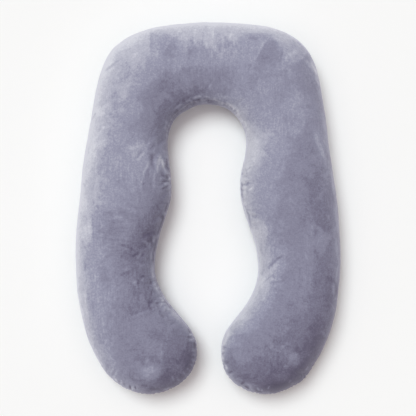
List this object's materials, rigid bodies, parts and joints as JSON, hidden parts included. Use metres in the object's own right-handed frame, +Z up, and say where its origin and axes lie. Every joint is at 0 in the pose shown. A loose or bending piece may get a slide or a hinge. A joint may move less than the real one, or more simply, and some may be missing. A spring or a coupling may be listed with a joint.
{
  "type": "body pillow",
  "caption": "U-shaped full-length body pillow with a closed rounded head end, two arms that narrow and turn in at rounded ends, and a plain velvet cover with one seam round its edge.",
  "frame": {"origin": "centre of the pillow's length and width, on the surface that it lies on", "axes": "+Z up through the thickness, +Y along the arms towards the closed head end, +X across to the right-hand arm seen from above"},
  "size_m": [0.922, 1.2932, 0.1862],
  "materials": {
    "velvet_cover": "short-pile velvet in greyed lavender, brushed unevenly, with a soft sheen"
  },
  "bodies": {
    "root": {"pillow": "velvet_cover"}
  },
  "joints": []
}
